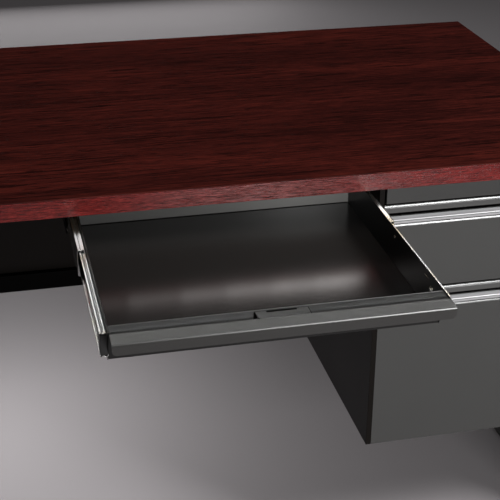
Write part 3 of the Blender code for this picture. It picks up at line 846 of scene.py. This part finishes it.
for side, hand in ((-1, "left"), (1, "right")):
    low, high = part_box("tray_screw_" + hand)
    x, y, z = (low + high) / 2
    wall = high.x if side > 0 else low.x
    inward = -side
    head = disc("hex_head", (x, y, z), 0.0044, high.x - low.x, "X", sides=6)
    rounded(head, 0.0004)
    washer = disc("washer", (wall + inward * 0.0003, y, z), 0.0056, 0.0004, "X", sides=28)
    settle(joined("tray_hex_screw_" + hand, [head, rounded(washer, 0.0001)]), "tray", ZINC,
           "zinc", "tray_screw_" + hand)
    dimple = turned("tray_dimple_" + hand,
                    [(0.0, 0.0009), (0.0012, 0.0007), (0.0020, 0.0002), (0.0024, 0.0), (0.0, 0.0)],
                    (wall, y + 0.150, z + 0.009), (inward, 0, 0), steps=20)
    settle(dimple, "tray", ZINC, "steel")
    near, far = sorted((wall, wall + inward * TONGUE_HEIGHT))
    tongue = block("tray_tongue_" + hand, (near, y + 0.012, z + 0.0110),
                   (far, y + 0.026, z + 0.0122))
    settle(rounded(tongue, 0.0003), "tray", ZINC, "steel")
    low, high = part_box("tray_bracket_" + hand)
    near, far = (low.x, high.x) if side > 0 else (high.x, low.x)
    hanger = folded("tray_hanger_" + hand, "Y", (low.y, high.y),
                    [(near, low.z), (near, high.z), (far, high.z)], -HANGER_SHEET * side,
                    bend=HANGER_BEND)
    settle(rounded(hanger, 0.0003), "desk", BLACK_AND_SHADE, "black", "tray_bracket_" + hand)
    screws("tray_hanger_screws_" + hand, "desk", ZINC, "zinc",
           [((low.x + high.x) / 2 + side * HANGER_SHEET, low.y + (high.y - low.y) * t,
             high.z - HANGER_SHEET) for t in (0.012, 0.35, 0.65, 0.96)])
tell("tray fixings")

# %% [markdown]
# ## Pedestal
# The pedestal hangs from the top. Its sides fold in at the front to make narrow stiles,
# and a boxed header closes the space above the drawers and carries the lock.

# %% Pedestal case
# Both pedestal sides take the painted shade paint.
for node, name, width, paint, slot in (
        ("pedestal_side_left", "pedestal_flank_left", 0.0007, CHARCOAL_SIDE_SHADE, "steel"),
        ("pedestal_side_right", "pedestal_flank_right", 0.0007, CHARCOAL_SIDE_SHADE, "steel"),
        ("pedestal_back", "pedestal_rear", 0.0003, CHARCOAL, "steel"),
        ("pedestal_bottom", "pedestal_base", 0.0003, CHARCOAL, "steel"),
        ("pedestal_top_rail", "pedestal_cross_rail", 0.0006, BLACK_AND_SHADE, "black"),
        ("pedestal_header", "pedestal_fascia", 0.0009, CHARCOAL, "steel")):
    settle(rounded(copied(node, name), width, 3, angle=40), "desk", paint, slot, node)
low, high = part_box("pedestal_top_rail")
screws("pedestal_rail_screws", "desk", ZINC, "zinc",
       [(low.x + (high.x - low.x) * t, (low.y + high.y) / 2, low.z) for t in (0.1, 0.5, 0.9)])
tell("pedestal")

# %% [markdown]
# ## Drawer pulls
# A full-width pull is one extrusion: a lip to hook the fingers under, a round scoop, a
# step and a bead that meets the front. Flat facets give the straight bright lines, and
# curves the soft ones, so the section is drawn finely and pushed across the drawer. Thin
# skins inside the scoop carry painted light: a pale skin and plate are a painted highlight
# in the trough, and a black skin is painted shade in the recess behind it. A black strip
# over the pull is painted shade in the gap there.


# %% Pulls
def bend(centre, radius, start, end, steps):
    """Points on an arc of a section, with its angles in degrees."""
    angles = [radians(start + (end - start) * k / steps) for k in range(steps + 1)]
    return [(centre[0] + radius * cos(a), centre[1] + radius * sin(a)) for a in angles]


def placed(face, top, points):
    """Depths are behind the drawer's face, and heights are from the pull's top."""
    return [(face + depth, top + height) for depth, height in points]


SCOOP_RADIUS, SCOOP_CENTRE = 0.0128, (0.0030, -0.0130)
PULL_SHEET = 0.0012


def pull_section(face, top):
    points = [(0.0036, 0.0), (0.0030, -0.0002), (0.0019, -0.0009), (0.0008, -0.0024),
              (0.0001, -0.0038), (0.0, -0.0046)]
    points += [(0.0, -0.0126), (0.0003, -0.0130), (0.0009, -0.0130), (0.0012, -0.0126)]
    points += bend((0.0045, -0.0045), 0.0033, 180, 90, 6) + [(0.0150, -0.0012)]
    points += bend((0.0150, -0.0020), 0.0008, 90, 0, 3)
    points += bend(SCOOP_CENTRE, SCOOP_RADIUS, 0, -90, 28)
    points += bend((0.0026, -0.0262), 0.0006, 110, 190, 4) + [(0.0019, -0.0324)]
    points += [(0.0034, -0.0326), (0.0034, -0.0340), (0.0015, -0.0343), (0.0005, -0.0357)]
    points += [(0.0, -0.0366), (0.0004, -0.0371)]
    points += [(0.0030, -0.0371)] + bend(SCOOP_CENTRE, SCOOP_RADIUS + PULL_SHEET, -90, 0, 20)
    points += bend((0.0158, -0.0012), 0.0012, 0, 90, 4)
    return placed(face, top, points)


def painted_skin_section(face, top, start, end, rest):
    """A thin skin over part of the scoop, and over the points that come after it. The pale
    skin carries a painted highlight and the black one painted shade.
    """
    points = bend(SCOOP_CENTRE, SCOOP_RADIUS - 0.0001, start, end, 16) + rest
    skin = [(depth - 0.0004, height + 0.0003) for depth, height in points]
    return placed(face, top, points + skin[::-1])


TROUGH_STEP = [(0.0027, -0.0256), (0.0016, -0.0259), (0.0006, -0.0272), (0.0009, -0.0275)]

for drawer in ("box_drawer", "file_drawer"):
    low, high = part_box(drawer + "_pull")
    grip = section(drawer + "_grip", "X", (low.x, high.x), pull_section(low.y, high.z))
    choose(grip, "faces", lambda middle, way: abs(way.x) > 0.9)
    bpy.ops.mesh.bevel(offset=0.00025, segments=2)
    settle(grip, drawer, PULL_PAINT, "pull", drawer + "_pull", smooth=20)
    inside = (low.x + 0.0006, high.x - 0.0006)
    # The pale skin is a painted highlight in the trough.
    liner = section(drawer + "_trough", "X", inside,
                    painted_skin_section(low.y, high.z, -56, -86, TROUGH_STEP))
    settle(liner, drawer, TROUGH_HIGHLIGHT, "pull", smooth=20)
    # The pale plate is a painted highlight too.
    plate = block(drawer + "_trough_plate", (inside[0], low.y + 0.0009, high.z - 0.0322),
                  (inside[1], low.y + 0.0014, high.z - 0.0286))
    settle(rounded(plate, 0.0001), drawer, TROUGH_HIGHLIGHT, "pull")
    # The black skin is painted shade in the recess under the lip.
    shade = section(drawer + "_recess", "X", inside, painted_skin_section(low.y, high.z, -8, -48, []))
    settle(shade, drawer, BLACK_AND_SHADE, "pull", smooth=20)
    # Painted shade: a black strip in the gap over the pull.
    top_gap_shade = block(drawer + "_top_seal", (inside[0], low.y + 0.0038, high.z),
                 (inside[1], low.y + 0.0150, high.z + 0.0003))
    settle(top_gap_shade, drawer, BLACK_AND_SHADE, "pull")
tell("pulls")

# %% [markdown]
# ## Drawers
# Each drawer is a folded front hung on a folded steel box. The box's top edges are hemmed,
# and its sides carry the moving members of two full-length slides.

# %% Drawer fronts, boxes and slides
for drawer, middles in (("box_drawer", "box_middles"), ("file_drawer", "file_middles")):
    face = rounded(copied(drawer + "_front", drawer + "_face"), 0.0009, 3)
    settle(face, drawer, CHARCOAL, "steel", drawer + "_front")
    tub = rounded(copied(drawer + "_body", drawer + "_tub"), 0.0006)
    settle(tub, drawer, TUB_PAINT, "steel", drawer + "_body")
    low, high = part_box(drawer + "_body")
    rims = []
    for x, inward in ((low.x + SHEET, 1), (high.x - SHEET, -1)):
        rims.append(block("rim", (min(x, x + inward * 0.0012), low.y + 0.004, high.z - 0.008),
                          (max(x, x + inward * 0.0012), high.y - 0.004, high.z + 0.0004)))
    settle(rounded(joined(drawer + "_hems", rims), 0.0005), drawer, TUB_PAINT, "steel")
    for side in (-1, 1):
        slide(drawer, drawer + "_runner", side, "desk", middles, drawer)
tell("drawers")

# %% [markdown]
# The file drawer also has two thin rails for hanging folders, and the box drawer a
# low divider that stands across it.

# %% Hanging-folder rails and divider
low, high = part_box("file_drawer_body")
FOLDER_RAIL, RAIL_INSET = 0.0025, 0.020
DIVIDER_PLACE, DIVIDER_GAP = 0.318, 0.030

bars = []
for x in (low.x + RAIL_INSET, high.x - RAIL_INSET):
    bars.append(block("folder_rail", (x - FOLDER_RAIL / 2, low.y + SHEET, high.z - 0.014),
                      (x + FOLDER_RAIL / 2, high.y - SHEET, high.z - 0.002)))
settle(rounded(joined("file_drawer_folder_rails", bars), 0.0006), "file_drawer", ZINC, "zinc")
low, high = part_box("box_drawer_body")
plate = folded("box_drawer_divider", "X", (low.x + 0.002, high.x - 0.002),
               [(low.y + DIVIDER_PLACE + 0.012, low.z + 0.002),
                (low.y + DIVIDER_PLACE, low.z + 0.002),
                (low.y + DIVIDER_PLACE, high.z - DIVIDER_GAP),
                (low.y + DIVIDER_PLACE + 0.004, high.z - DIVIDER_GAP)],
               SHEET, bend=0.0012)
settle(rounded(plate, 0.0002), "box_drawer", TUB_PAINT, "steel")
tell("drawer fittings")

# %% [markdown]
# ## Lock
# The lock is a bright sleeve pressed into the header with a plug that turns in it. The
# sleeve is spun from its section, and the keyway is cut into the plug's face.

# %% Lock
low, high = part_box("lock_sleeve")
x, z = (low.x + high.x) / 2, (low.z + high.z) / 2
flange, barrel, bore = (high.x - low.x) / 2, 0.0095, 0.0067
face_y = low.y
sleeve = turned("lock_bezel", [
    (bore, 0.0), (bore + 0.0010, 0.0), (flange - 0.0012, 0.0), (flange - 0.0004, 0.0003),
    (flange, 0.0010), (flange, 0.0013), (barrel, 0.0013), (barrel, high.y - face_y),
    (bore, high.y - face_y), (bore, 0.0)], (x, face_y, z), (0, 1, 0), steps=48)
settle(rounded(sleeve, 0.00015, angle=60), "desk", NICKEL, "lock", "lock_sleeve")
low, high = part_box("lock_plug")
radius = (high.x - low.x) / 2
plug = turned("lock_barrel", [
    (0.0, 0.0), (radius - 0.0008, 0.0), (radius, 0.0006), (radius, high.y - low.y),
    (0.0, high.y - low.y)], (x, low.y, z), (0, 1, 0), steps=40)
bored(plug, block("keyway", (x - 0.0007, low.y - 0.001, z - 0.0038),
                  (x + 0.0007, low.y + 0.006, z + 0.0036)),
      block("keyway_ward", (x - 0.0015, low.y - 0.001, z - 0.0004),
            (x + 0.0007, low.y + 0.006, z + 0.0008)))
settle(plug, "lock", NICKEL, "lock", "lock_plug")
cam = copied("lock_cam", "lock_tongue")
choose(cam, "edges", lambda middle, way: abs(way.y) > 0.9)
bpy.ops.mesh.bevel(offset=0.0035, segments=6)
settle(rounded(cam, 0.0003), "lock", ZINC, "zinc", "lock_cam")
bpy.data.objects.remove(SCREW)
tell("lock")
print("pieces made:", len(made), "triangles:",
      sum(len(p.vertices) - 2 for piece in made for p in piece.data.polygons))

# %% [markdown]
# ## Studio
# The desk stands on a pale seamless floor.

# %% Floor
STUDIO_GREY = (0.36, 0.335, 0.345)
FLOOR_SIDE = 30.0

bpy.ops.object.select_all(action="DESELECT")
bpy.ops.mesh.primitive_plane_add(size=FLOOR_SIDE)
floor = bpy.context.object
floor.name = "studio_floor"
floor_finish = Finish("studio_floor", roughness=0.75)
wash = floor_finish.noise((0.8, 0.8, 0.8), detail=2.0)
floor_finish.set(base_color=floor_finish.mix(wash, STUDIO_GREY,
                                             tuple(1.05 * c for c in STUDIO_GREY)))
floor.data.materials.append(floor_finish.material)
print("floor:", FLOOR_SIDE, "m square")

# %% [markdown]
# ## General lights
# A softbox is an area light, and a large one gives soft shadows. The key stands high on
# the right, an overhead box and a front fill open the shadows a little, and next to
# nothing comes from the left, so that the panels that face left stay almost black; their
# paint is also darkened as painted shade. The front fill leaves out the lip, which would
# lose its contrast.


# %% Softboxes
def soft_light(name, place, target, width, height, watts, colour=(1.0, 1.0, 1.0),
               only=None, shadows=True):
    """A rectangular softbox that faces its target. It can be flagged off everything but
    some pieces, as a studio does with black cards. Blender hides a new light from the
    camera by itself."""
    lamp = bpy.data.lights.new(name, "AREA")
    lamp.shape = "RECTANGLE"
    lamp.size, lamp.size_y = width, height
    lamp.energy, lamp.color = watts, colour
    holder = bpy.data.objects.new(name, lamp)
    facing = (Vector(target) - Vector(place)).to_track_quat("-Z", "Y")
    holder.matrix_world = Matrix.Translation(place) @ facing.to_matrix().to_4x4()
    bpy.context.scene.collection.objects.link(holder)
    if only:
        lit = bpy.data.collections.new(name + "_lit")
        for piece in only:
            lit.objects.link(piece)
        holder.light_linking.receiver_collection = lit
        if not shadows:
            holder.light_linking.blocker_collection = lit


def named(*starts):
    return [piece for piece in made if piece.name.startswith(starts)]


soft_light("key", (2.3, -1.7, 3.1), (0.1, -0.3, 0.66), 1.1, 1.1, 85)
soft_light("overhead", (0.0, -0.8, 3.0), (0.0, -0.2, 0.7), 2.4, 1.0, 10)
soft_light("front_fill", (0.9, -3.0, 1.1), (0.5, -0.2, 0.60), 1.6, 1.0, 46,
           only=[floor] + [piece for piece in made if piece.name != "tray_nose"])

# %% [markdown]
# ## Lights for single pieces
# Polished and folded edges only shine where they mirror something bright, so a studio
# sets a thin strip or a card for each. Light linking does the same here: it names the
# pieces that a light falls on. Some of these lights also pass through all other pieces,
# which a real lamp can't do. The trim is all that catches a line of light: the pulls, the
# slides and the tray's edges.

# %% Strips for the trim, the pulls and the slides
RUNNERS = named("tray_runner", "tray_hook")
TROUGHS = named("box_drawer_trough", "file_drawer_trough")
GRIPS = named("box_drawer_grip", "file_drawer_grip")
TRIM = GRIPS + named("tray_nose", "tray_front_ledge", "tray_latch_tab", "tray_runner",
                     "tray_rear_wall", "tray_side")

soft_light("trim_glow", (0.4, -0.6, 2.6), (0.3, -0.3, 0.7), 3.6, 0.06, 22, only=TRIM)
soft_light("rear_high", (0.4, 2.2, 2.7), (0.2, -0.4, 0.66), 3.6, 0.05, 12, only=TRIM)
soft_light("strip", (1.9, -2.0, 2.46), (1.1, -0.2, 0.66), 2.6, 0.36, 115,
           only=GRIPS + TROUGHS + named("tray_nose", "tray_ledge_bead"))
soft_light("scoop_glow", (0.8, -2.4, 1.5), (0.5, -0.2, 0.6), 2.4, 0.8, 20, only=TROUGHS)
soft_light("runner_back", (0.8, 2.3, 2.0), (0.2, -0.3, 0.69), 3.0, 0.5, 9,
           only=RUNNERS, shadows=False)
soft_light("runner_front", (1.0, -2.7, 1.8), (0.2, -0.3, 0.69), 2.2, 0.5, 36,
           only=RUNNERS, shadows=False)

# %% [markdown]
# The tray's floor mirrors the bright gap under the worktop, which is widest and brightest
# in its middle. Six thin lights, one inside another, build that up. They stand a
# millimetre apart, because lights in one plane shade one another. Small lights do the
# same for the back wall, the slides' noses and the fixings on the right wall.

# %% Glints in and round the tray
GLINT_HEIGHT, GLINT_Y, GLINT_Z, GLINT_STEP = 0.012, -0.2085, 0.7385, 0.001
GLINT_TINT = (1.0, 0.965, 0.94)
GLINTS = ((-0.12, 0.325, 0.55), (-0.05, 0.320, 0.75), (0.03, 0.315, 0.90),
          (0.10, 0.308, 0.95), (0.17, 0.300, 0.95), (0.24, 0.290, 0.80))

for number, (start, end, radiance) in enumerate(GLINTS):
    middle, length = (start + end) / 2, end - start
    soft_light(f"edge_glint_{number}", (middle, GLINT_Y - GLINT_STEP * number, GLINT_Z),
               (middle, -0.50, 0.60), length, GLINT_HEIGHT,
               radiance * pi * length * GLINT_HEIGHT, GLINT_TINT,
               only=named("tray_pan"))
soft_light("wall_glint", (0.30, -0.32, 0.713), (0.24, -0.10, 0.69), 0.12, 0.02, 0.7,
           only=named("tray_rear_wall"), shadows=False)
for hand, x, watts in (("left", -0.122, 0.004), ("right", 0.336, 0.009)):
    soft_light("runner_glint_" + hand, (x, GLINT_Y, 0.7235), (x, -0.40, 0.66),
               0.05, 0.024, watts, only=named("tray_runner"))
soft_light("fixings_glow", (-1.3, -0.9, 1.6), (0.3, -0.4, 0.68), 1.6, 1.6, 40,
           only=named("tray_hex_screw_right", "tray_tongue_right", "tray_dimple_right"))

# %% [markdown]
# Last come a sheen along the middle of the edge band, a low fill from the rear that
# reaches under the desk, a pool of light on the floor behind the tray, and a faint
# surrounding light. The Standard view keeps the reds as they are mixed.

# %% Sheen, rear fill, floor pool and surroundings
soft_light("edge_sheen", (0.50, -1.6, 0.12), (0.2, -0.2, 0.73), 0.36, 0.3, 6.0,
           only=named("worktop_banding"), shadows=False)
soft_light("rear_fill", (0.0, 3.7, 0.5), (0.0, 0.5, 0.45), 2.4, 0.6, 10)
soft_light("floor_pool", (-0.34, 0.36, 0.60), (-0.34, 0.36, 0.0), 0.3, 0.3, 4.0,
           only=[floor], shadows=False)

world = bpy.data.worlds.new("studio")
world.use_nodes = True
surround = world.node_tree.nodes["Background"].inputs
surround["Color"].default_value = (1.0, 0.97, 0.98, 1.0)
surround["Strength"].default_value = 0.02
bpy.context.scene.world = world
bpy.context.scene.view_settings.view_transform = "Standard"
